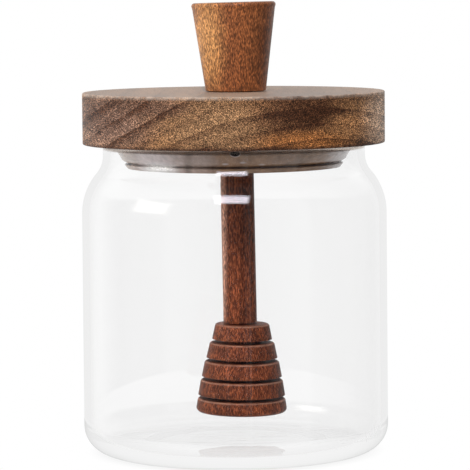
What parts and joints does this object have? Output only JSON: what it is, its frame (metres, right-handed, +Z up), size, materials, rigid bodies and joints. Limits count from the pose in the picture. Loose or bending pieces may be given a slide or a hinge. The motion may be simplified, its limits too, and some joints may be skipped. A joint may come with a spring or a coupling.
{
  "type": "glass honey pot",
  "caption": "Clear glass honey jar with a thick wooden lid, a tapered wooden knob, a soft sealing ring and a ringed wooden dipper that hangs inside.",
  "frame": {"origin": "middle of the jar's base, on the surface it stands on", "axes": "+Z up along the jar's axis; -Y faces the picture's camera; +X to the right in the picture"},
  "size_m": [0.1, 0.1, 0.1474],
  "materials": {
    "clear_glass": "clear, polished",
    "lid_wood": "oiled, satin",
    "seal_silicone": "translucent, frosted",
    "knob_wood": "oiled, satin",
    "dipper_wood": "oiled, matt"
  },
  "bodies": {
    "root": {"glass_jar": "clear_glass", "lid": "lid_wood", "seal": "seal_silicone", "knob": "knob_wood", "stick": "dipper_wood", "dipper_head": "dipper_wood"}
  },
  "joints": []
}
